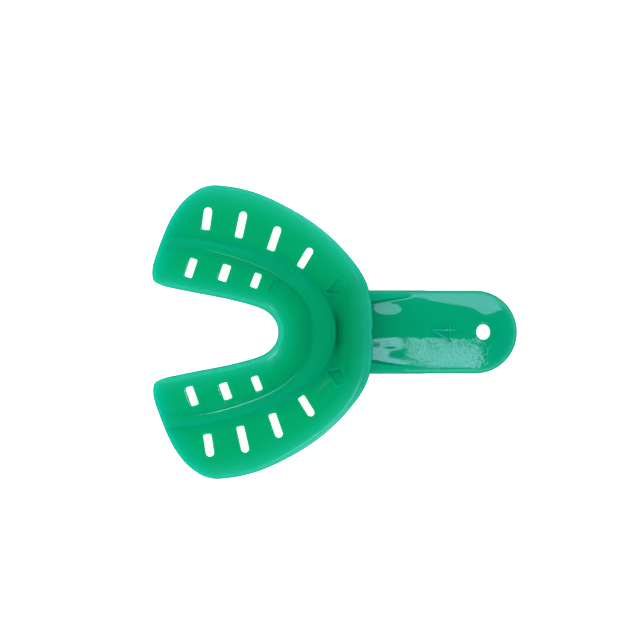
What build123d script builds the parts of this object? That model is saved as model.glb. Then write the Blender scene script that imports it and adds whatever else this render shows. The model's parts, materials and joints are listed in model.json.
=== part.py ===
from build123d import *
import os

# A disposable lower-jaw impression tray, in millimetres. The origin is on the rest plane, under the
# middle of the tray's box. +X points out along the handle, +Z up out of the trough, and the tray is
# symmetric about the XZ plane. The tray is one rigid moulding: every node below is a region of it,
# and neighbouring regions meet face to face.

# Wall and heights of the trough.
WALL = 1.8
FLOOR_SINK = 0.05
INNER_HEIGHT_FRONT = 9.5
INNER_HEIGHT_BACK = 7.0
CREST_HEIGHT_FRONT = 9.4
CREST_HEIGHT_BACK = 7.6
OUTER_HEIGHT_FRONT = 12.5
OUTER_HEIGHT_BACK = 9.5

# Each station is a straight line across one half of the trough, from the midline to just past the
# back border: its tongue-side end, its cheek-side end, and the fractions of its length at which the
# floor starts, the floor ends and the outer wall rolls over into the flared border.
STATIONS = [
    ((-13.9, 0.0), (9.3, 0.0), 0.33, 0.60, 0.74),
    ((-14.2, 1.9), (7.9, 12.0), 0.34, 0.545, 0.75),
    ((-15.0, 3.4), (3.6, 18.7), 0.335, 0.515, 0.79),
    ((-17.0, 5.2), (-3.1, 25.3), 0.335, 0.49, 0.79),
    ((-20.8, 6.7), (-12.0, 31.0), 0.35, 0.48, 0.80),
    ((-26.8, 8.2), (-20.8, 34.7), 0.36, 0.46, 0.82),
    ((-33.0, 9.4), (-28.3, 36.0), 0.38, 0.47, 0.83),
    ((-39.5, 10.7), (-35.0, 35.9), 0.38, 0.47, 0.84),
    ((-47.0, 12.3), (-41.5, 34.6), 0.38, 0.47, 0.85),
]
INNER_MID_RISE = 0.42
OUTER_MID_RISE = 0.40
UNDER_SAMPLES = 11

# Regions, measured in from the two borders.
INNER_RIM_WIDTH = 1.9
OUTER_RIM_WIDTH = 3.6

# Back border of one half, from inside the tongue gap round to outside the cheek side.
BACK_BORDER = [
    (-39.5, 8.6), (-42.4, 10.9), (-44.3, 12.4), (-44.8, 14.8), (-43.8, 19.2),
    (-42.1, 23.8), (-40.0, 28.1), (-37.2, 31.9), (-34.2, 34.4), (-30.2, 36.5),
]
BACK_CLEAR_X = -60.0
CUT_LOW = -5.0
CUT_HIGH = 30.0

# Retention slots of one half: centre x, centre y, direction in degrees, length and width.
OUTER_SLOTS = [
    (-31.2, 27.9, 81.0, 5.5, 2.05),
    (-22.8, 26.4, 77.0, 6.5, 1.95),
    (-14.65, 23.0, 70.5, 6.1, 1.95),
    (-7.05, 18.25, 58.0, 5.45, 1.85),
]
INNER_SLOTS = [
    (-35.25, 15.75, 71.5, 4.8, 1.9),
    (-27.0, 14.55, 71.0, 4.2, 2.1),
    (-19.3, 12.65, 69.5, 3.7, 1.85),
]

# Blind teardrop pocket beside the handle root, in place of a fifth outer slot.
POCKET_OUTLINE = [(-2.1, 9.7), (1.2, 9.2), (2.5, 11.2), (1.9, 12.7), (0.6, 13.2)]
POCKET_DEPTH = 0.9

# Shallow relief for the lip frenum at the middle of the outer border.
NOTCH_DEPTH = 0.4
NOTCH_HALF_WIDTH = 1.0

# Handle: a dished blade with a round end and a hanging hole.
HANDLE_HALF_WIDTH = 10.2
HANDLE_TIP_X = 44.8
HANDLE_UNDERSIDE = 3.0
HANDLE_THICKNESS = 2.2
HANDLE_ROOT_X = 2.0
HANDLE_ROOT_SIDE_X = -2.4
DISH_DEPTH = 0.8
DISH_HALF_WIDTH = 8.8
HOLE_X = 36.5
HOLE_RADIUS = 1.7

# Gussets along both sides of the handle's root.
GUSSET_INNER_Y = 7.7
GUSSET_ROOT_X = 0.0
GUSSET_TIP_X = 16.8
GUSSET_RISE = 4.6

# Raised numeral on the blade, its head towards the trough.
MARK_STROKE = 0.4
MARK_RISE = 0.25
MARK_STEM = ((24.0, 0.4), (29.9, 0.4))
MARK_BAR = ((28.3, -2.2), (28.3, 1.7))
MARK_DIAGONAL = ((24.0, 0.4), (28.3, -2.2))


def blend(front, back, part):
    """A height that eases from its front value to its back value."""
    return front + (back - front) * part ** 2


def both_sides(points):
    """Repeats points of the half tray on the other side, in one row from side to side."""
    mirrored = [(x, -y) for x, y in points[:0:-1]]
    return mirrored + points


def profile(length, floor_in, floor_out, crest, part):
    """Middle line of the wall along one station, as (distance, height) pairs."""
    half = WALL / 2
    floor = half - FLOOR_SINK
    start, end = half, length - half
    inner_height = blend(INNER_HEIGHT_FRONT, INNER_HEIGHT_BACK, part) - half
    crest_height = blend(CREST_HEIGHT_FRONT, CREST_HEIGHT_BACK, part)
    outer_height = blend(OUTER_HEIGHT_FRONT, OUTER_HEIGHT_BACK, part) - half
    a, b, c = floor_in * length, floor_out * length, crest * length
    return [
        (start, inner_height),
        ((start + a) / 2, floor + (inner_height - floor) * INNER_MID_RISE),
        (a, floor),
        ((a + b) / 2, floor),
        (b, floor),
        ((b + c) / 2, floor + (crest_height - floor) * OUTER_MID_RISE),
        (c, crest_height),
        (end, outer_height),
    ]


def section(station, part, side):
    """Closed section of the wall at one station, with half-round borders."""
    (xi, yi), (xo, yo), floor_in, floor_out, crest = station
    inner, outer = Vector(xi, yi * side), Vector(xo, yo * side)
    across = (outer - inner).normalized()
    sideways = Vector(0, 0, 1).cross(across)
    points = profile((outer - inner).length, floor_in, floor_out, crest, part)
    middle = Spline(*[inner + across * s + Vector(0, 0, z) for s, z in points])
    upper, lower = [], []
    for i in range(UNDER_SAMPLES):
        at = i / (UNDER_SAMPLES - 1)
        down = sideways.cross(middle % at) * (WALL / 2)
        upper.append((middle @ at) - down)
        lower.append((middle @ at) + down)
    inner_tip = (middle @ 0) - (middle % 0) * (WALL / 2)
    outer_tip = (middle @ 1) + (middle % 1) * (WALL / 2)
    edges = [
        Spline(*upper),
        ThreePointArc(upper[-1], outer_tip, lower[-1]),
        Spline(*lower[::-1]),
        ThreePointArc(lower[0], inner_tip, upper[0]),
    ]
    return Wire(edges)


def prism(outline):
    """Vertical prism over a closed plan outline, through the whole height of the tray."""
    return Solid.extrude(Face(Wire(outline)), Vector(0, 0, CUT_HIGH - CUT_LOW)).moved(
        Location((0, 0, CUT_LOW))
    )


def back_trim(side):
    """Everything behind the curved back border of one half."""
    points = [(x, y * side) for x, y in BACK_BORDER]
    first, last = points[0], points[-1]
    corner_in, corner_out = (BACK_CLEAR_X, first[1]), (BACK_CLEAR_X, last[1])
    return prism([
        Spline(*points), Line(last, corner_out), Line(corner_out, corner_in), Line(corner_in, first)
    ])


def slot(x, y, angle, length, width, side, round_end):
    """Vertical cutter of one slot; the end nearer the cheek may be round."""
    shape = Rectangle(length, width)
    if round_end:
        square = Rectangle(length - width / 2, width).moved(Location((-width / 4, 0)))
        tip = Circle(width / 2).moved(Location((length / 2 - width / 2, 0)))
        shape = square + tip
    placed = Location((x, y * side, CUT_LOW), (0, 0, angle * side)) * shape
    return extrude(placed, amount=CUT_HIGH - CUT_LOW)


def pocket(sheet, side):
    """Top layer of the wall under the teardrop outline."""
    points = [(x, y * side) for x, y in POCKET_OUTLINE]
    tear = prism([Spline(*points, periodic=True)])
    return (sheet & tear) - sheet.moved(Location((0, 0, -POCKET_DEPTH)))


def make_arch():
    """The whole perforated trough, before it is divided into its regions."""
    last = len(STATIONS) - 1
    rows = [(i, -1) for i in range(last, 0, -1)] + [(i, 1) for i in range(last + 1)]
    sheet = Solid.make_loft([section(STATIONS[i], i / last, side) for i, side in rows])
    below = Box(200, 200, 20, align=(Align.CENTER, Align.CENTER, Align.MAX))
    sheet = sheet - below
    for side in (1, -1):
        sheet = sheet - back_trim(side)
    for side in (1, -1):
        sheet = sheet - pocket(sheet, side)
    notch_tip = STATIONS[0][1][0] - NOTCH_DEPTH
    notch_edge = STATIONS[0][1][0] + NOTCH_DEPTH
    notch = Polyline(
        (notch_tip, 0), (notch_edge, NOTCH_HALF_WIDTH), (notch_edge, -NOTCH_HALF_WIDTH), (notch_tip, 0)
    )
    sheet = sheet - prism(notch.edges())
    for side in (1, -1):
        for row, round_end in ((OUTER_SLOTS, True), (INNER_SLOTS, False)):
            for values in row:
                sheet = sheet - slot(*values, side, round_end)
    return sheet


def region_prism(place):
    """Prism over everything on the tongue side of one region line."""
    line = []
    for station in STATIONS:
        inner, outer = Vector(*station[0]), Vector(*station[1])
        distance = place(station, (outer - inner).length)
        point = inner + (outer - inner).normalized() * distance
        line.append((point.X, point.Y))
    line = both_sides(line)
    corners = [(BACK_CLEAR_X, line[-1][1]), (BACK_CLEAR_X, line[0][1])]
    return prism([
        Spline(*line), Line(line[-1], corners[0]), Line(corners[0], corners[1]), Line(corners[1], line[0])
    ])


def make_regions(sheet):
    """Divides the trough along four region lines, from the tongue side outwards."""
    lines = [
        ("inner_rim", lambda station, length: INNER_RIM_WIDTH),
        ("inner_flange", lambda station, length: station[2] * length),
        ("trough_floor", lambda station, length: station[3] * length),
        ("outer_flange", lambda station, length: length - OUTER_RIM_WIDTH),
    ]
    regions = {}
    rest = sheet
    for name, place in lines:
        cutter = region_prism(place)
        regions[name] = rest & cutter
        rest = rest - cutter
    regions["outer_rim"] = rest
    return regions


def largest(shape):
    """The biggest solid of a cut, without the offcuts."""
    return max(shape.solids(), key=lambda solid: solid.volume)


def dish_cutter():
    """Long cylinder that hollows the handle's top into a shallow dish."""
    radius = (DISH_HALF_WIDTH ** 2 + DISH_DEPTH ** 2) / (2 * DISH_DEPTH)
    top = HANDLE_UNDERSIDE + HANDLE_THICKNESS
    axis_height = top - DISH_DEPTH + radius
    return Cylinder(radius, 3 * HANDLE_TIP_X, rotation=(0, 90, 0)).moved(Location((0, 0, axis_height)))


def make_handle(sheet):
    """Blade from the outer wall to the round end, with its hanging hole."""
    half = HANDLE_HALF_WIDTH
    end_centre = HANDLE_TIP_X - half
    outline = [
        Line((HANDLE_ROOT_SIDE_X, half), (end_centre, half)),
        ThreePointArc((end_centre, half), (HANDLE_TIP_X, 0), (end_centre, -half)),
        Line((end_centre, -half), (HANDLE_ROOT_SIDE_X, -half)),
        ThreePointArc((HANDLE_ROOT_SIDE_X, -half), (HANDLE_ROOT_X, 0), (HANDLE_ROOT_SIDE_X, half)),
    ]
    blade = Solid.extrude(Face(Wire(outline)), Vector(0, 0, HANDLE_THICKNESS))
    blade = blade.moved(Location((0, 0, HANDLE_UNDERSIDE)))
    hole = Cylinder(HOLE_RADIUS, CUT_HIGH).moved(Location((HOLE_X, 0, 0)))
    return largest(blade - dish_cutter() - hole - sheet)


def make_gussets(sheet, handle):
    """Two side ribs that slope from under the flared border down to the blade."""
    top = HANDLE_UNDERSIDE + HANDLE_THICKNESS
    low = HANDLE_UNDERSIDE
    gussets = []
    for side in (1, -1):
        y = GUSSET_INNER_Y if side > 0 else -HANDLE_HALF_WIDTH
        side_view = Polyline(
            (GUSSET_ROOT_X, y, low), (GUSSET_TIP_X, y, low), (GUSSET_TIP_X, y, top),
            (GUSSET_ROOT_X, y, top + GUSSET_RISE), (GUSSET_ROOT_X, y, low),
        )
        width = Vector(0, HANDLE_HALF_WIDTH - GUSSET_INNER_Y, 0)
        rib = Solid.extrude(Face(Wire(side_view.edges())), width)
        gussets.append(largest(rib - handle - sheet))
    return Compound(gussets)


def stroke(start, end):
    """One straight stroke of the numeral, in plan."""
    run = Vector(*end) - Vector(*start)
    middle = (Vector(*end) + Vector(*start)) * 0.5
    angle = Vector(1, 0, 0).get_signed_angle(run, Vector(0, 0, 1))
    return Location(middle, (0, 0, angle)) * Rectangle(run.length + MARK_STROKE, MARK_STROKE)


def make_size_mark(handle):
    """Raised numeral 4 that stands on the dished blade."""
    plan = stroke(*MARK_STEM) + stroke(*MARK_BAR) + stroke(*MARK_DIAGONAL)
    dish_bottom = HANDLE_UNDERSIDE + HANDLE_THICKNESS - DISH_DEPTH
    height = dish_bottom + MARK_RISE - HANDLE_UNDERSIDE
    tall = extrude(plan.moved(Location((0, 0, HANDLE_UNDERSIDE))), amount=height)
    return largest(tall - handle)


def main():
    os.makedirs("parts", exist_ok=True)
    sheet = make_arch()
    nodes = make_regions(sheet)
    nodes["handle"] = make_handle(sheet)
    nodes["handle_gussets"] = make_gussets(sheet, nodes["handle"])
    nodes["size_mark"] = make_size_mark(nodes["handle"])
    for name, shape in nodes.items():
        export_step(shape, f"parts/{name}.step")
        print(name, len(shape.solids()), "solids", round(shape.volume, 1), "mm3")


main()
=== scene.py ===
import json
import math

import bpy
import numpy as np
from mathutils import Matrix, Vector


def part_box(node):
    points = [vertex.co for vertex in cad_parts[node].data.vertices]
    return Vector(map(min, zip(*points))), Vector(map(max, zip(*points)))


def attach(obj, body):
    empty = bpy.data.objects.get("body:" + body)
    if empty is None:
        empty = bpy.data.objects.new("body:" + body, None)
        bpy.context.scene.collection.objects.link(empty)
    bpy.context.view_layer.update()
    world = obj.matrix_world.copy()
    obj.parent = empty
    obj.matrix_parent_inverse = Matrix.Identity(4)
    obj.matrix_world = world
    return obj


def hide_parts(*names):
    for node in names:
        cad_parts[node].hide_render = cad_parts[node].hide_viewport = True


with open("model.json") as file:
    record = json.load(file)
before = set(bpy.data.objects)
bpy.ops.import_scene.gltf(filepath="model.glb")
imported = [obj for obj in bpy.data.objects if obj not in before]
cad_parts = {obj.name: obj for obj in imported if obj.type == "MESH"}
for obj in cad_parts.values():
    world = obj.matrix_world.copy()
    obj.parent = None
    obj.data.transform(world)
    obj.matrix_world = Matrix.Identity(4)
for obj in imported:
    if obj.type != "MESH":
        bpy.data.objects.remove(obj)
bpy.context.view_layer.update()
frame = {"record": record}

# A disposable lower-jaw impression tray, looked at straight down into its trough. The shape work is
# done in millimetres, as signed distance fields, and turned into metres when a mesh is made.
MM = 0.001
BODY = "root"

# ---------------------------------------------------------------- shape of the trough

WALL = 1.8
HALF = WALL / 2
SKEW = 0.008

# Half of the arch, as in the CAD model: tongue-side end and cheek-side end of each straight line
# across the trough, and the fractions of that line where the floor starts, the floor ends and the
# outer wall rolls over into the flared border.
STATIONS = [
    ((-13.9, 0.0), (9.3, 0.0), 0.33, 0.60, 0.74),
    ((-14.2, 1.9), (7.9, 12.0), 0.34, 0.545, 0.75),
    ((-15.0, 3.4), (3.6, 18.7), 0.335, 0.515, 0.79),
    ((-17.0, 5.2), (-3.1, 25.3), 0.335, 0.49, 0.79),
    ((-20.8, 6.7), (-12.0, 31.0), 0.35, 0.48, 0.80),
    ((-26.8, 8.2), (-20.8, 34.7), 0.36, 0.46, 0.82),
    ((-33.0, 9.4), (-28.3, 36.0), 0.38, 0.47, 0.83),
    ((-39.5, 10.7), (-35.0, 35.9), 0.38, 0.47, 0.84),
    ((-47.0, 12.3), (-41.5, 34.6), 0.38, 0.47, 0.85),
]

# A pair holds the value at the front of the arch and the value at its back ends.
INNER_HEIGHT = (9.5, 7.0)
CREST_HEIGHT = (9.4, 7.6)
OUTER_HEIGHT = (14.2, 10.7)
ROLL_DROP = (2.0, 1.5)
ROLL_REACH = 3.2
CREASE_IN = (0.25, 0.4)
CREASE_OUT = (0.1, 0.2)
CREST_SOFTNESS = (1.2, 2.4)
CREST_LIFT = 0.12
INNER_BULGE = 0.22
OUTER_BULGE = 0.10
PROFILE_SAMPLES = 96

# Back border of one half, from inside the tongue gap round to outside the cheek side.
BACK_BORDER = [
    (-39.5, 8.6), (-42.4, 10.9), (-44.3, 12.4), (-44.8, 14.8), (-43.8, 19.2),
    (-42.1, 23.8), (-40.0, 28.1), (-37.2, 31.9), (-34.2, 34.4), (-30.2, 36.5),
]
BORDER_SAMPLES = 60
BEYOND_BACK_X = -70.0

# Retention slots of one half: centre x, centre y, direction in degrees, length and width.
OUTER_SLOTS = [
    (-31.2, 27.9, 81.0, 5.5, 2.05),
    (-22.8, 26.4, 77.0, 6.5, 1.95),
    (-14.65, 23.0, 70.5, 6.1, 1.95),
    (-7.05, 18.25, 58.0, 5.45, 1.85),
]
INNER_SLOTS = [
    (-35.25, 15.75, 71.5, 4.8, 1.9),
    (-27.0, 14.55, 71.0, 4.2, 2.1),
    (-19.3, 12.65, 69.5, 3.7, 1.85),
]
SLOT_EDGE = 0.3
SLOT_CORNER = 0.35

POCKET_OUTLINE = [(-2.1, 9.7), (1.2, 9.2), (2.5, 11.2), (1.9, 12.7), (0.6, 13.2)]
POCKET_CORNER = 0.35
POCKET_DEPTH = 0.65
POCKET_EDGE = 0.2

# A slot moulded blind, as a dent in one arm's inner wall, one slot's pitch in front of the row. Its
# values are those of the slots above.
BLIND_SLOT = (-14.7, 11.2, 60.0, 3.4, 1.8)
BLIND_SLOT_DEPTH = 0.35
BLIND_SLOT_EDGE = 0.12

NOTCH_DEPTH = 0.4
NOTCH_HALF_WIDTH = 1.0

# ---------------------------------------------------------------- shape of the handle

HANDLE_HALF_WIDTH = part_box("handle")[1].y / MM
HANDLE_UNDERSIDE = 3.0
HANDLE_THICKNESS = 2.2
HANDLE_TIP_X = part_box("handle")[1].x / MM
HANDLE_ROOT_X = 1.2
ROOT_SIDE_SETBACK = 4.4
HANDLE_EDGE = 0.8
DISH_DEPTH = 0.72
TWIST = (-0.015, 0.005)
TWIST_SPAN = (20.0, 38.0)
LIP_RISE = 0.16
LIP_WIDTH = 1.7

# Spots where the blade's face is tipped a little: centre x and y, half length, half width and slope.
TIPPED_SPOTS = [
    (13.2, 5.2, 3.7, 3.0, 0.075),
    (19.5, 7.5, 3.5, 4.0, -0.025),
    (18.4, -6.7, 3.2, 1.4, 0.08),
    (14.0, -3.9, 3.6, 0.9, 0.05),
    (37.5, 6.0, 2.6, 4.0, 0.035),
]
HOLE_X = frame["record"]["mounts"][0]["pos_m"][0] / MM
HOLE_RADIUS = frame["record"]["mounts"][0]["dims"]["r_mm"]
HOLE_STRETCH = 1.12
HOLE_EDGE = 0.35
GUSSET_INNER_Y = (7.3, 8.6)
GUSSET_ROOT_X = 9.0
GUSSET_TIP_X = 16.8
GUSSET_RISE = 4.6
GUSSET_DRAFT = 0.2
GUSSET_EDGE = 0.15
GUSSET_FILLET = 0.3
ROOT_FILLET = 1.0
ROOT_REACH = 0.8 * ROOT_FILLET
ROOT_SKIN = 0.3

MARK_STROKES = [((24.0, 0.4), (29.9, 0.4)), ((28.3, -2.2), (28.3, 1.7)), ((24.0, 0.4), (28.3, -2.2))]
MARK_WIDTH = 0.6
MARK_RISE = 0.2
MARK_FOOT = 0.4
MARK_EDGE = 0.1

# How much, and over what distance, painted light lightens the green, painted shade darkens it and the
# gloss dulls.
EDGE_SHADE_WIDTH = 0.25
HANDLE_DULL_WIDTH = 1.1
INNER_DULL_WIDTH = 2.2
WORN_START_X = (15.0, 20.0)
WORN_START_Y = (1.0, 3.0)
BORDER_PAINTED_LIGHT_FADE = 2.2
DULL_FADE = 3.0
BACKED_SHADE_FADE = 4.6
LOW_PAINTED_LIGHT = 0.3
LOW_PAINTED_LIGHT_FADE = 3.5
LEDGE_PAINTED_LIGHT = 0.4
LEDGE_PAINTED_LIGHT_WIDTH = 0.9
POCKET_PAINTED_HIGHLIGHT = 0.6
POCKET_PAINTED_HIGHLIGHT_WIDTH = 0.3
HANDLE_BORDER_PAINTED_LIGHT = 0.4
MARK_PAINTED_LIGHT = 0.25
BACKED_SHADE_WALL = (-0.3, 0.6)
BACKED_SHADE_DEPTH = 1.5 * WALL
BACKED_SHADE_SIDE_LOSS = 0.65
BACKED_SHADE_SIDES = (1.5, 0.75 * HANDLE_HALF_WIDTH)

# ---------------------------------------------------------------- field tools


class Spline:
    """Natural cubic spline through rows of values."""

    def __init__(self, knots, rows):
        self.x = np.asarray(knots, float)
        self.y = np.asarray(rows, float).reshape(len(self.x), -1)
        gap = np.diff(self.x)
        count = len(self.x)
        system = np.zeros((count, count))
        right = np.zeros_like(self.y)
        system[0, 0] = system[-1, -1] = 1
        for i in range(1, count - 1):
            system[i, i - 1:i + 2] = gap[i - 1], 2 * (gap[i - 1] + gap[i]), gap[i]
            rise = (self.y[i + 1] - self.y[i]) / gap[i]
            right[i] = 6 * (rise - (self.y[i] - self.y[i - 1]) / gap[i - 1])
        self.bend = np.linalg.solve(system, right)

    def __call__(self, at):
        at = np.clip(at, self.x[0], self.x[-1])
        i = np.clip(np.searchsorted(self.x, at) - 1, 0, len(self.x) - 2)
        gap = self.x[i + 1] - self.x[i]
        low = ((self.x[i + 1] - at) / gap)[:, None]
        high = 1 - low
        curve = (low ** 3 - low) * self.bend[i] + (high ** 3 - high) * self.bend[i + 1]
        return low * self.y[i] + high * self.y[i + 1] + curve * (gap * gap / 6)[:, None]


def round_max(a, b, radius):
    """Intersection of two fields with a rounded edge."""
    corner = np.hypot(np.maximum(a + radius, 0), np.maximum(b + radius, 0))
    return np.minimum(np.maximum(a, b), -radius) + corner


def round_min(a, b, radius):
    """Union of two fields with a fillet."""
    near = np.maximum(radius - np.abs(a - b), 0) / radius
    return np.minimum(a, b) - near * near * radius / 4


def smooth_max(a, b, width):
    """The larger of two values, eased over a width where they are close."""
    return (a + b + np.sqrt((a - b) ** 2 + width ** 2)) / 2


def smooth_min(a, b, width):
    """The smaller of two values, eased over a width where they are close."""
    return (a + b - np.sqrt((a - b) ** 2 + width ** 2)) / 2


def outline_distance(x, y, outline):
    """Signed distance in plan to a closed outline, negative inside."""
    best = np.full(x.shape, 1e9)
    odd = np.zeros(x.shape, bool)
    for (ax, ay), (bx, by) in zip(outline, np.roll(outline, -1, axis=0)):
        dx, dy = bx - ax, by - ay
        along = np.clip(((x - ax) * dx + (y - ay) * dy) / (dx * dx + dy * dy), 0, 1)
        best = np.minimum(best, np.hypot(x - ax - along * dx, y - ay - along * dy))
        if ay != by:
            crosses = (ay > y) != (by > y)
            odd ^= crosses & (x < ax + (y - ay) * dx / dy)
    return np.where(odd, -best, best)


def curve_through(points, steps):
    """Points along a smooth curve through a few given ones."""
    length = np.concatenate([[0], np.cumsum(np.hypot(*np.diff(points, axis=0).T))])
    return Spline(length, points)(np.linspace(0, length[-1], steps))


def surface_nets(field, origin, step):
    """Quad mesh of a field's zero surface: one vertex per crossed cell, one quad per crossed edge."""
    inside = field < 0
    shape = np.array(field.shape) - 1
    total = np.zeros((shape.prod(), 3))
    count = np.zeros(shape.prod())
    rings = []
    for axis in range(3):
        low = [slice(None)] * 3
        high = [slice(None)] * 3
        low[axis], high[axis] = slice(None, -1), slice(1, None)
        crossed = inside[tuple(low)] != inside[tuple(high)]
        node = np.argwhere(crossed)
        a, b = field[tuple(low)][crossed], field[tuple(high)][crossed]
        place = node.astype(float)
        place[:, axis] += a / (a - b)
        side, up = (axis + 1) % 3, (axis + 2) % 3
        ring = []
        for ds, du in ((0, 0), (-1, 0), (-1, -1), (0, -1)):
            cell = node.copy()
            cell[:, side] += ds
            cell[:, up] += du
            flat = np.ravel_multi_index(cell.T, shape)
            for k in range(3):
                total[:, k] += np.bincount(flat, place[:, k], len(count))
            count += np.bincount(flat, minlength=len(count))
            ring.append(flat)
        ring = np.stack(ring, axis=1)
        outward = inside[tuple(low)][crossed]
        ring[~outward] = ring[~outward][:, ::-1]
        rings.append(ring)
    used = np.flatnonzero(count)
    number = np.zeros(len(count), int)
    number[used] = np.arange(len(used))
    points = total[used] / count[used][:, None] * step + origin
    return points, number[np.vstack(rings)]


def gradient(field, points, reach=0.02):
    """Central differences of a field at scattered points."""
    columns = []
    for axis in range(3):
        shift = np.zeros(3)
        shift[axis] = reach
        columns.append((field(points + shift) - field(points - shift)) / (2 * reach))
    return np.stack(columns, axis=1)


def sample_near(field, grid, step, block=3):
    """Field values on a grid, worked out in full only near the surface."""
    coarse_grid = grid[::block, ::block, ::block]
    coarse = field(coarse_grid.reshape(-1, 3)).reshape(coarse_grid.shape[:3])
    for axis in range(3):
        coarse = np.repeat(coarse, block, axis=axis)
    values = coarse[tuple(slice(n) for n in grid.shape[:3])].copy()
    near = np.abs(values) < 1.3 * math.sqrt(3) * block * step
    values[near] = field(grid[near])
    return values


def mesh_field(field, low, high, step, rounds=2):
    """Meshes a field in a box, and moves each vertex onto the exact surface."""
    axes = [np.arange(a, b + step, step) for a, b in zip(low, high)]
    grid = np.stack(np.meshgrid(*axes, indexing="ij"), axis=-1)
    points, quads = surface_nets(sample_near(field, grid, step), np.asarray(low, float), step)
    for _ in range(rounds):
        slope = gradient(field, points)
        move = -field(points)[:, None] * slope / np.maximum((slope ** 2).sum(1), 0.05)[:, None]
        length = np.linalg.norm(move, axis=1)[:, None]
        points += move * np.minimum(1, 0.5 * step / np.maximum(length, 1e-9))
    return points, quads


# ---------------------------------------------------------------- fields of the tray


def ease(front_back, part):
    """A value part of the way from the front of the arch to its back ends."""
    front, back = front_back
    return front + (back - front) * part ** 2


def station_rows():
    """Every station from one back end to the other, with its heights and crease widths."""
    last = len(STATIONS) - 1
    rows, knots = [], [0.0]
    for i in range(-last, last + 1):
        (xi, yi), (xo, yo), a, b, c = STATIONS[abs(i)]
        side = -1 if i < 0 else 1
        part = abs(i) / last
        heights = [ease(v, part) for v in (INNER_HEIGHT, CREST_HEIGHT, OUTER_HEIGHT, ROLL_DROP)]
        widths = [ease(v, part) for v in (CREASE_IN, CREASE_OUT, CREST_SOFTNESS)]
        rows.append([xi, yi * side, xo, yo * side, a, b, c, *heights, *widths])
    rows = np.array(rows)
    for before, after in zip(rows, rows[1:]):
        inner = math.dist(before[:2], after[:2])
        outer = math.dist(before[2:4], after[2:4])
        knots.append(knots[-1] + (inner + outer) / 2)
    knots = np.array(knots)
    return knots - knots[last], rows


KNOTS, ROWS = station_rows()
ARCH = Spline(KNOTS, ROWS)
LINES = Spline(KNOTS, ROWS[:, :4])
FRONT_X = STATIONS[0][1][0]

# The place, in a station's row, of the fraction where the floor ends and the outer wall starts.
FLOOR_END = 5


def turn_side(at, x, y):
    """Positive where a point is past the station line, negative where it is before it."""
    xi, yi, xo, yo = LINES(at).T
    return ((xo - xi) * (y - yi) - (yo - yi) * (x - xi)) / np.hypot(xo - xi, yo - yi)


def station_of(x, y, halvings=7, refinements=4):
    """The station line that passes through each point of the plan."""
    low = np.full(x.shape, KNOTS[0])
    high = np.full(x.shape, KNOTS[-1])
    for _ in range(halvings):
        middle = (low + high) / 2
        past = turn_side(middle, x, y) > 0
        low = np.where(past, middle, low)
        high = np.where(past, high, middle)
    at_low, at_high = turn_side(low, x, y), turn_side(high, x, y)
    for _ in range(refinements):
        gap = at_low - at_high
        share = np.where(np.abs(gap) > 1e-9, at_low / np.where(gap == 0, 1, gap), 0.5)
        middle = low + (high - low) * np.clip(share, 0.02, 0.98)
        here = turn_side(middle, x, y)
        past = here > 0
        low, at_low = np.where(past, middle, low), np.where(past, here, at_low)
        high, at_high = np.where(past, high, middle), np.where(past, at_high, here)
    gap = at_low - at_high
    return low + (high - low) * np.clip(at_low / np.where(gap == 0, 1, gap), 0, 1)


def wall_profile(rows, distance):
    """Height of the wall's middle surface at distances along station lines."""
    places, shape = rows.T[:4, :, None], rows.T[4:, :, None]
    length = np.hypot(places[2] - places[0], places[3] - places[1])
    a, b, c, inner, crest, outer, roll, crease_in, crease_out, soft = shape
    a, b, c, end = a * length, b * length, c * length, length - HALF
    floor = HALF
    into = (a - distance) / (a - HALF)
    inner_wall = floor + (inner - HALF - floor) * (into + INNER_BULGE * into * (1 - into))
    over = (distance - b) / (c - b)
    steep = floor + (crest - floor) * (over + OUTER_BULGE * over * (1 - over))
    past = (distance - c) / (end - c)
    near_border = np.clip(1 - (end - distance) / ROLL_REACH, 0, 1)
    flare = crest + (outer - HALF - crest) * past - roll * near_border ** 2
    outer_wall = smooth_min(steep, flare, soft) + soft * CREST_LIFT
    low = smooth_max(inner_wall, floor, crease_in)
    return smooth_max(low, outer_wall, crease_out)


def along_station(x, y, rows):
    """How far a plan point is along its station line, and the line's length."""
    xi, yi, xo, yo = rows.T[:4]
    length = np.hypot(xo - xi, yo - yi)
    return ((x - xi) * (xo - xi) + (y - yi) * (yo - yi)) / length, length


def sheet_distance(points, samples=PROFILE_SAMPLES, chunk=20000):
    """Signed distance above the wall's middle surface, and the wall's own field."""
    signed = np.empty(len(points))
    solid = np.empty(len(points))
    for start in range(0, len(points), chunk):
        x, y, z = points[start:start + chunk].T
        rows = ARCH(station_of(x, y))
        along, length = along_station(x, y, rows)
        s = HALF + (length[:, None] - WALL) * np.linspace(0, 1, samples)
        h = wall_profile(rows, s)
        ds, dh = np.diff(s, axis=1), np.diff(h, axis=1)
        u = ((along[:, None] - s[:, :-1]) * ds + (z[:, None] - h[:, :-1]) * dh) / (ds * ds + dh * dh)
        u = np.clip(u, 0, 1)
        away = np.hypot(along[:, None] - s[:, :-1] - u * ds, z[:, None] - h[:, :-1] - u * dh)
        distance = away.min(axis=1)
        here = wall_profile(rows, np.clip(along, HALF, length - HALF)[:, None])[:, 0]
        signed[start:start + chunk] = np.where(z > here, distance, -distance)
        solid[start:start + chunk] = distance - HALF
    return signed, solid


def closed_back(side):
    """Closed outline of everything behind one half's back border."""
    border = curve_through(BACK_BORDER, BORDER_SAMPLES)
    far = [(BEYOND_BACK_X, border[-1][1]), (BEYOND_BACK_X, border[0][1])]
    return np.vstack([border, far]) * (1, side)


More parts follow.
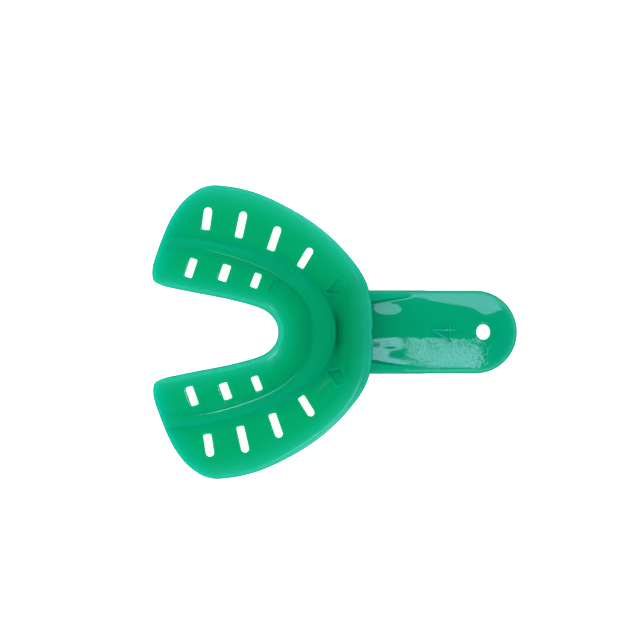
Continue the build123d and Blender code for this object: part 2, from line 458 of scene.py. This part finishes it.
def slot_distance(x, y, values, side, round_end):
    """Distance in plan to one slot, negative inside it."""
    cx, cy, angle, length, width = values
    turn = math.radians(angle * side)
    dx, dy = x - cx, y - cy * side
    along = dx * math.cos(turn) + dy * math.sin(turn)
    across = -dx * math.sin(turn) + dy * math.cos(turn)
    corner = np.where((along > 0) & round_end, width / 2, SLOT_CORNER)
    over = np.abs(along) - length / 2 + corner
    wide = np.abs(across) - width / 2 + corner
    outside = np.hypot(np.maximum(over, 0), np.maximum(wide, 0))
    return outside + np.minimum(np.maximum(over, wide), 0) - corner


def cut(solid, where, hollow, radius):
    """Takes a hollow out of the part of a solid's field that is near it."""
    solid[where] = round_max(solid[where], -hollow, radius)


def unskewed(points):
    """Where points of the slightly skewed moulding lie in the true, symmetric one."""
    return points + np.outer(points[:, 1], (SKEW, 0, 0))


def arch_fields(points):
    """Signed distance above the wall's middle surface, and the perforated trough's own field."""
    points = unskewed(points)
    x, y, z = points.T
    signed, solid = sheet_distance(points)
    for side in (1, -1):
        near = (x < BACK_BORDER[-1][0] + WALL) & (y * side > 0)
        cut(solid, near, outline_distance(x[near], y[near], closed_back(side)), HALF)
        for row, round_end in ((OUTER_SLOTS, True), (INNER_SLOTS, False)):
            for values in row:
                near = np.hypot(x - values[0], y - values[1] * side) < values[3]
                cut(solid, near, slot_distance(x[near], y[near], values, side, round_end), SLOT_EDGE)
        corners = np.array(POCKET_OUTLINE) * (1, side)
        near = np.hypot(x - corners[:, 0].mean(), y - corners[:, 1].mean()) < 2 * np.ptp(corners[:, 0])
        tear = outline_distance(x[near], y[near], corners)
        recess = round_max(tear, HALF - POCKET_DEPTH - signed[near], POCKET_CORNER)
        cut(solid, near, recess, POCKET_EDGE)
    near = np.hypot(x - BLIND_SLOT[0], y - BLIND_SLOT[1]) < BLIND_SLOT[3]
    dent = slot_distance(x[near], y[near], BLIND_SLOT, 1, False)
    dent = round_max(dent, HALF - BLIND_SLOT_DEPTH - signed[near], BLIND_SLOT_EDGE)
    cut(solid, near, dent, BLIND_SLOT_EDGE)
    notch = (FRONT_X - NOTCH_DEPTH - x) + np.abs(y) * NOTCH_DEPTH / NOTCH_HALF_WIDTH
    return signed, round_max(solid, -notch, NOTCH_DEPTH)


def arch_field(points):
    """The perforated trough's own field."""
    return arch_fields(points)[1]


def smooth_step(low, high, value):
    """0 below the low end, 1 above the high end, and an eased ramp between them."""
    part = np.clip((value - low) / (high - low), 0, 1)
    return part * part * (3 - 2 * part)


def blade_plan(x, y):
    """Distance from the middle line of the round-ended blade."""
    return np.hypot(np.maximum(x - HANDLE_TIP_X + HANDLE_HALF_WIDTH, 0), y)


def blade_top(x, y):
    """Height of the dished, slightly twisted upper face."""
    dish = DISH_DEPTH * (1 - (blade_plan(x, y) / HANDLE_HALF_WIDTH) ** 2)
    twist = TWIST[0] + (TWIST[1] - TWIST[0]) * smooth_step(*TWIST_SPAN, x)
    lip = np.clip(1 - (HANDLE_HALF_WIDTH - blade_plan(x, y)) / LIP_WIDTH, 0, 1) ** 2
    height = HANDLE_UNDERSIDE + HANDLE_THICKNESS - dish + twist * y + LIP_RISE * (lip - 1)
    for spot_x, spot_y, length, width, slope in TIPPED_SPOTS:
        near = np.exp(-((x - spot_x) / length) ** 2 - ((y - spot_y) / width) ** 2)
        height += slope * (y - spot_y) * near
    return height


def handle_field(points):
    """Blade, hanging hole and the two side gussets."""
    x, y, z = points.T
    plan = blade_plan(x, y) - HANDLE_HALF_WIDTH
    root = HANDLE_ROOT_X - ROOT_SIDE_SETBACK * (y / HANDLE_HALF_WIDTH) ** 2 - x
    slab = np.maximum(z - blade_top(x, y), HANDLE_UNDERSIDE - z)
    blade = round_max(round_max(slab, plan, HANDLE_EDGE), root, HANDLE_EDGE)
    hole = HOLE_RADIUS - np.hypot(x - HOLE_X, y / HOLE_STRETCH)
    blade = round_max(blade, hole, HOLE_EDGE)
    rim = HANDLE_UNDERSIDE + HANDLE_THICKNESS
    slope = GUSSET_RISE / GUSSET_TIP_X
    rib_top = (z - rim - (GUSSET_TIP_X - x) * slope) / math.hypot(1, slope)
    taper = (x - GUSSET_ROOT_X) / (GUSSET_TIP_X - GUSSET_ROOT_X)
    inner_y = GUSSET_INNER_Y[0] + (GUSSET_INNER_Y[1] - GUSSET_INNER_Y[0]) * taper
    rib_side = np.maximum(inner_y + GUSSET_DRAFT * (z - rim) - np.abs(y), np.abs(y) - HANDLE_HALF_WIDTH)
    rib = round_max(rib_side, rib_top, GUSSET_EDGE)
    rib = np.maximum(np.maximum(rib, HANDLE_UNDERSIDE + HANDLE_EDGE - z), root)
    return round_min(blade, rib, GUSSET_FILLET)


def joined_handle_field(points):
    """The handle with its fillet onto the outer wall, and a skin of overlap inside that wall."""
    handle = handle_field(points)
    far = 3 * ROOT_FILLET
    arch, above = np.full(len(points), far), np.full(len(points), -far)
    near = (handle < far) & (points[:, 0] < FRONT_X + far)
    above[near], arch[near] = arch_fields(points[near])
    handle = np.maximum(handle, above)
    whole = round_min(arch, handle, ROOT_FILLET)
    inside_wall = above + HALF - ROOT_SKIN
    return np.maximum(np.maximum(whole, inside_wall), handle - ROOT_REACH)


def mark_field(points):
    """Raised numeral 4 on the blade, its foot sunk into the plastic."""
    x, y, z = points.T
    strokes = np.full(len(points), 1e9)
    for (ax, ay), (bx, by) in MARK_STROKES:
        dx, dy = bx - ax, by - ay
        u = np.clip(((x - ax) * dx + (y - ay) * dy) / (dx * dx + dy * dy), 0, 1)
        strokes = np.minimum(strokes, np.hypot(x - ax - u * dx, y - ay - u * dy))
    top = blade_top(x, y)
    slab = np.maximum(z - top - MARK_RISE, top - MARK_FOOT - z)
    return round_max(strokes - MARK_WIDTH / 2, slab, MARK_EDGE)


def painted_edge_shade(inset):
    """Painted shade: how much the green darkens at a plan distance in from a border."""
    return np.exp(-(np.maximum(inset, 0) / EDGE_SHADE_WIDTH) ** 2)


def trough_finish(points):
    """Painted light that lightens the green, how dull it is and painted shade that darkens its edge, all
    over the trough.
    """
    true = unskewed(points)
    x, y, z = true.T
    rows = ARCH(station_of(x, y))
    along, length = along_station(x, y, rows)
    border = np.minimum(along, length - along)
    # Painted light: lighter low down near the floor, in a thin ring round each pocket, along the line
    # where the floor ends and towards every border.
    painted_light = LOW_PAINTED_LIGHT * np.exp(-z / LOW_PAINTED_LIGHT_FADE)
    for side in (1, -1):
        half = y * side > 0
        border[half] = np.minimum(border[half], outline_distance(x[half], y[half], closed_back(side)))
        rounded = outline_distance(x, y, np.array(POCKET_OUTLINE) * (1, side))
        painted_light = np.maximum(painted_light, POCKET_PAINTED_HIGHLIGHT * np.exp(-(rounded / POCKET_PAINTED_HIGHLIGHT_WIDTH) ** 2))
    from_outer = along - rows[:, FLOOR_END] * length
    painted_light = np.maximum(painted_light, LEDGE_PAINTED_LIGHT * np.exp(-(from_outer / LEDGE_PAINTED_LIGHT_WIDTH) ** 2))
    near_border = np.exp(-np.maximum(border, 0) / BORDER_PAINTED_LIGHT_FADE)
    dull_outer = np.exp(-np.maximum(length - along, 0) / DULL_FADE)
    dull_inner = np.exp(-(along / INNER_DULL_WIDTH) ** 2)
    return np.maximum(painted_light, near_border), np.maximum(dull_outer, dull_inner), painted_edge_shade(border)


def painted_backed_shade(points, normals):
    """Painted shade: 1 where the handle's root lies right behind the outer wall, fading to 0 away from it.
    """
    x, y, _ = unskewed(points).T
    rows = ARCH(station_of(x, y))
    along, length = along_station(x, y, rows)
    on_outer_wall = smooth_step(*BACKED_SHADE_WALL, along - rows[:, FLOOR_END] * length)
    behind = points - normals * BACKED_SHADE_DEPTH
    central = 1 - BACKED_SHADE_SIDE_LOSS * smooth_step(*BACKED_SHADE_SIDES, np.abs(y))
    return on_outer_wall * central * np.exp(-np.maximum(handle_field(behind), 0) / BACKED_SHADE_FADE)


def paint(piece, name, values):
    """Stores one value per vertex for the material to read."""
    attribute = piece.data.attributes.new(name, "FLOAT", "POINT")
    attribute.data.foreach_set("value", np.asarray(values, np.float32))


def make_piece(name, points, quads):
    """A smooth-shaded mesh object that rides on the tray."""
    mesh = bpy.data.meshes.new(name)
    mesh.from_pydata((points * MM).tolist(), [], quads.tolist())
    mesh.shade_smooth()
    piece = bpy.data.objects.new(name, mesh)
    bpy.context.scene.collection.objects.link(piece)
    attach(piece, BODY)
    return piece


STEP = 0.32
MARK_STEP = 0.08
MARGIN = 1.0
ROOT_MARGIN = 6.0


def padded_box(*nodes):
    """The box around some CAD nodes, in millimetres, with a margin."""
    low = np.min([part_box(n)[0] for n in nodes], axis=0) / MM - MARGIN
    high = np.max([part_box(n)[1] for n in nodes], axis=0) / MM + MARGIN
    return low, high


def make_arch():
    nodes = ("trough_floor", "outer_flange", "inner_flange", "outer_rim", "inner_rim")
    points, quads = mesh_field(arch_field, *padded_box(*nodes), STEP)
    piece = make_piece("tray_arch", points, quads)
    painted_light, dull, edge = trough_finish(points)
    # Painted light, gloss dulling and painted shade at the edges, then painted shade where the handle's
    # root lies behind the outer wall.
    paint(piece, "painted_light", painted_light)
    paint(piece, "dull", dull)
    paint(piece, "edge", edge)
    paint(piece, "painted_backed_shade", painted_backed_shade(points, gradient(arch_field, points)))
    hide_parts(*nodes)
    return piece


def make_handle():
    nodes = ("handle", "handle_gussets")
    low, high = padded_box(*nodes)
    low[0] -= ROOT_MARGIN
    points, quads = mesh_field(joined_handle_field, low, high, STEP)
    piece = make_piece("tray_handle", points, quads)
    x, y, _ = points.T
    inset = HANDLE_HALF_WIDTH - blade_plan(x, y)
    # Painted light towards the blade's border and painted shade right at its edge.
    paint(piece, "painted_light", HANDLE_BORDER_PAINTED_LIGHT * np.exp(-np.maximum(inset, 0) / BORDER_PAINTED_LIGHT_FADE))
    paint(piece, "edge", painted_edge_shade(inset))
    paint(piece, "dull", np.exp(-(inset / HANDLE_DULL_WIDTH) ** 2))
    paint(piece, "worn", smooth_step(*WORN_START_X, x) * smooth_step(*WORN_START_Y, -y))
    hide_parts(*nodes)
    return piece


def make_mark():
    low, high = padded_box("size_mark")
    points, quads = mesh_field(mark_field, low, high, MARK_STEP)
    piece = make_piece("raised_numeral", points, quads)
    # Painted light over the whole numeral.
    paint(piece, "painted_light", np.full(len(points), MARK_PAINTED_LIGHT))
    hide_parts("size_mark")
    return piece


arch = make_arch()
handle = make_handle()
mark = make_mark()

# ---------------------------------------------------------------- material

TROUGH_GREEN = (0.0008, 0.445, 0.178, 1)
HANDLE_GREEN = (0.0008, 0.36, 0.20, 1)
CLOUD_GREEN = (0.0008, 0.37, 0.14, 1)
# Colours of painted light and shade: a lighter green for painted light, dark greens for painted shade
# behind the handle's root and at the edges.
PAINTED_LIGHT_GREEN = (0.001, 0.54, 0.39, 1)
BACKED_SHADE_GREEN = (0.0002, 0.08, 0.03, 1)
EDGE_SHADE_GREEN = (0.01, 0.12, 0.07, 1)
TROUGH_ROUGHNESS = 0.08
HANDLE_ROUGHNESS = 0.04
DULL_ROUGHNESS = 0.35
CLOUD_SHARE = 0.5
BACKED_SHADE_SHARE = 0.95
EDGE_SHADE_SHARE = 0.7
CLOUD_SIZE = 0.009
RIPPLE_SIZE = 0.006
TROUGH_RIPPLE = 0.00002
HANDLE_RIPPLE = 0.00006
GRAIN_SIZE = 0.0007
GRAIN_HEIGHT = 0.000033


def plastic(name, green, roughness, ripple):
    """Glossy, slightly translucent moulded plastic; ripple is the height of its waves in metres."""
    material = bpy.data.materials.new(name)
    material.use_nodes = True
    nodes, links = material.node_tree.nodes, material.node_tree.links
    shader = nodes["Principled BSDF"]
    shader.inputs["IOR"].default_value = 1.5
    shader.inputs["Subsurface Weight"].default_value = 0.8
    shader.inputs["Subsurface Radius"].default_value = (0.15, 1.0, 0.7)
    shader.inputs["Subsurface Scale"].default_value = 0.002
    place = nodes.new("ShaderNodeTexCoord").outputs["Object"]

    def noise(size, detail):
        """Noise of 0 to 1, with bumps of a size in metres."""
        texture = nodes.new("ShaderNodeTexNoise")
        texture.inputs["Scale"].default_value = 1 / size
        texture.inputs["Detail"].default_value = detail
        links.new(place, texture.inputs["Vector"])
        return texture.outputs["Fac"]

    def scaled(factor, low, high):
        """A factor of 0 to 1 brought to a range of its own."""
        span = nodes.new("ShaderNodeMapRange")
        span.inputs["To Min"].default_value = low
        span.inputs["To Max"].default_value = high
        links.new(factor, span.inputs["Value"])
        return span.outputs["Result"]

    def mix(factor, low, high, share=1.0):
        """Blends two colours by a factor times a share; a colour is a tuple or a socket."""
        blend = nodes.new("ShaderNodeMix")
        blend.data_type = "RGBA"
        links.new(scaled(factor, 0, share), blend.inputs["Factor"])
        # The node repeats its socket names per data type; its colour sockets are inputs 6 and 7, output 2.
        for socket, colour in ((blend.inputs[6], low), (blend.inputs[7], high)):
            if isinstance(colour, tuple):
                socket.default_value = colour
            else:
                links.new(colour, socket)
        return blend.outputs[2]

    def attribute(key):
        """One of the values that paint stored per vertex."""
        node = nodes.new("ShaderNodeAttribute")
        node.attribute_name = key
        return node.outputs["Fac"]

    cloudy = mix(noise(CLOUD_SIZE, 2), green, CLOUD_GREEN, CLOUD_SHARE)
    # Painted light lightens the green; painted shade darkens it where the handle's root lies behind the
    # outer wall and right at every edge.
    with_painted_light = mix(attribute("painted_light"), cloudy, PAINTED_LIGHT_GREEN)
    with_backed_shade = mix(attribute("painted_backed_shade"), with_painted_light, BACKED_SHADE_GREEN, BACKED_SHADE_SHARE)
    colour = mix(attribute("edge"), with_backed_shade, EDGE_SHADE_GREEN, EDGE_SHADE_SHARE)
    links.new(scaled(attribute("dull"), roughness, DULL_ROUGHNESS), shader.inputs["Roughness"])
    links.new(colour, shader.inputs["Base Color"])
    worn_grain = nodes.new("ShaderNodeMath")
    worn_grain.operation = "MULTIPLY"
    links.new(noise(GRAIN_SIZE, 3), worn_grain.inputs[0])
    links.new(attribute("worn"), worn_grain.inputs[1])
    normal = None
    for relief, height in ((noise(RIPPLE_SIZE, 1), ripple), (worn_grain.outputs[0], GRAIN_HEIGHT)):
        bump = nodes.new("ShaderNodeBump")
        bump.inputs["Strength"].default_value = 1.0
        bump.inputs["Distance"].default_value = height
        links.new(relief, bump.inputs["Height"])
        if normal:
            links.new(normal, bump.inputs["Normal"])
        normal = bump.outputs["Normal"]
    links.new(normal, shader.inputs["Normal"])
    return material


trough_plastic = plastic("green_plastic_trough", TROUGH_GREEN, TROUGH_ROUGHNESS, TROUGH_RIPPLE)
handle_plastic = plastic("green_plastic_handle", HANDLE_GREEN, HANDLE_ROUGHNESS, HANDLE_RIPPLE)
arch.data.materials.append(trough_plastic)
for piece in (handle, mark):
    piece.data.materials.append(handle_plastic)

# ---------------------------------------------------------------- floor, light and camera

VIEW_CENTRE = Vector((-3.64, 2.96, 0)) * MM
VIEW_WIDTH = 157.8 * MM
CAMERA_HEIGHT = 1.8
FLOOR_HALF = 2.0
LIGHT_HEIGHT = 1.9
COOL = (0.42, 0.59, 0.94)
SKY_STRENGTH = 1.15

camera_data = bpy.data.cameras.new("camera")
camera_data.sensor_width = 36
camera_data.lens = camera_data.sensor_width * CAMERA_HEIGHT / VIEW_WIDTH
camera = bpy.data.objects.new("camera", camera_data)
camera.location = VIEW_CENTRE + Vector((0, 0, CAMERA_HEIGHT))
bpy.context.scene.collection.objects.link(camera)
bpy.context.scene.camera = camera

floor_mesh = bpy.data.meshes.new("floor")
corners = [(FLOOR_HALF * x, FLOOR_HALF * y, 0) for x, y in ((-1, -1), (1, -1), (1, 1), (-1, 1))]
floor_mesh.from_pydata(corners, [], [(0, 1, 2, 3)])
floor = bpy.data.objects.new("floor", floor_mesh)
bpy.context.scene.collection.objects.link(floor)
floor_material = bpy.data.materials.new("floor_paper")
floor_material.use_nodes = True
paper = floor_material.node_tree.nodes["Principled BSDF"]
paper.inputs["Base Color"].default_value = (0.86, 0.87, 0.88, 1)
paper.inputs["Roughness"].default_value = 0.9
paper.inputs["Specular IOR Level"].default_value = 0.1
paper.inputs["Emission Color"].default_value = (1, 1, 1, 1)
paper.inputs["Emission Strength"].default_value = 0.8
floor_mesh.materials.append(floor_material)
floor.visible_glossy = False


def softbox(name, place, size, radiance, target, pieces):
    """A rectangular light that only the gloss of the given pieces mirrors."""
    data = bpy.data.lights.new(name, "AREA")
    data.shape = "RECTANGLE"
    data.size, data.size_y = size
    data.energy = radiance * math.pi * size[0] * size[1]
    data.color = COOL
    light = bpy.data.objects.new(name, data)
    light.location = place
    light.rotation_euler = (Vector(target) - Vector(place)).to_track_quat("-Z", "Y").to_euler()
    light.visible_diffuse = False
    receivers = bpy.data.collections.new(name + "_receivers")
    for piece in pieces:
        receivers.objects.link(piece)
    light.light_linking.receiver_collection = receivers
    bpy.context.scene.collection.objects.link(light)


def side_box(name, azimuth, off_vertical, size, radiance, pieces):
    """A softbox that faces the tray from one side, at an angle off vertical."""
    turn, lean = math.radians(azimuth), math.radians(off_vertical)
    away = LIGHT_HEIGHT * math.sin(lean)
    place = (away * math.cos(turn), away * math.sin(turn), LIGHT_HEIGHT * math.cos(lean))
    softbox(name, place, size, radiance, (0, 0, 0), pieces)


def overhead_strip(name, low_angle, high_angle, low_x, high_x, radiance, pieces):
    """A flat strip of light beside the camera, seen from the tray between two angles off vertical."""
    near, far = (LIGHT_HEIGHT * math.tan(math.radians(a)) for a in (low_angle, high_angle))
    x, y = (low_x + high_x) / 2, (near + far) / 2
    size = (high_x - low_x, abs(far - near))
    softbox(name, (x, y, LIGHT_HEIGHT), size, radiance, (x, y, 0), pieces)


# Each strip's two angles and its range of x, then its radiance and the pieces it shines on.
overhead_strip("handle_near_strip", 4.2, 16.0, 0.015, 0.4, 7.8, (handle, mark))
overhead_strip("handle_far_strip", -10.0, -25.0, -0.3, 0.3, 5.0, (handle, mark))
overhead_strip("trough_near_strip", -10.0, -25.0, 0.05, 0.34, 12.0, (arch,))
overhead_strip("trough_far_strip", 10.0, 25.0, 0.05, 0.3, 3.0, (arch,))

# Each box's azimuth and angle off vertical, its size, its radiance and the pieces it shines on.
side_box("left_box", 58, 68, (0.5, 0.3), 14.0, (arch,))
side_box("right_box", -56, 68, (0.5, 0.3), 30.0, (arch,))

world = bpy.data.worlds.new("studio")
bpy.context.scene.world = world
world.use_nodes = True
sky = world.node_tree.nodes["Background"]
sky.inputs["Color"].default_value = (1, 1, 1, 1)
sky.inputs["Strength"].default_value = SKY_STRENGTH
world.cycles_visibility.glossy = False
bpy.context.scene.view_settings.view_transform = "Standard"
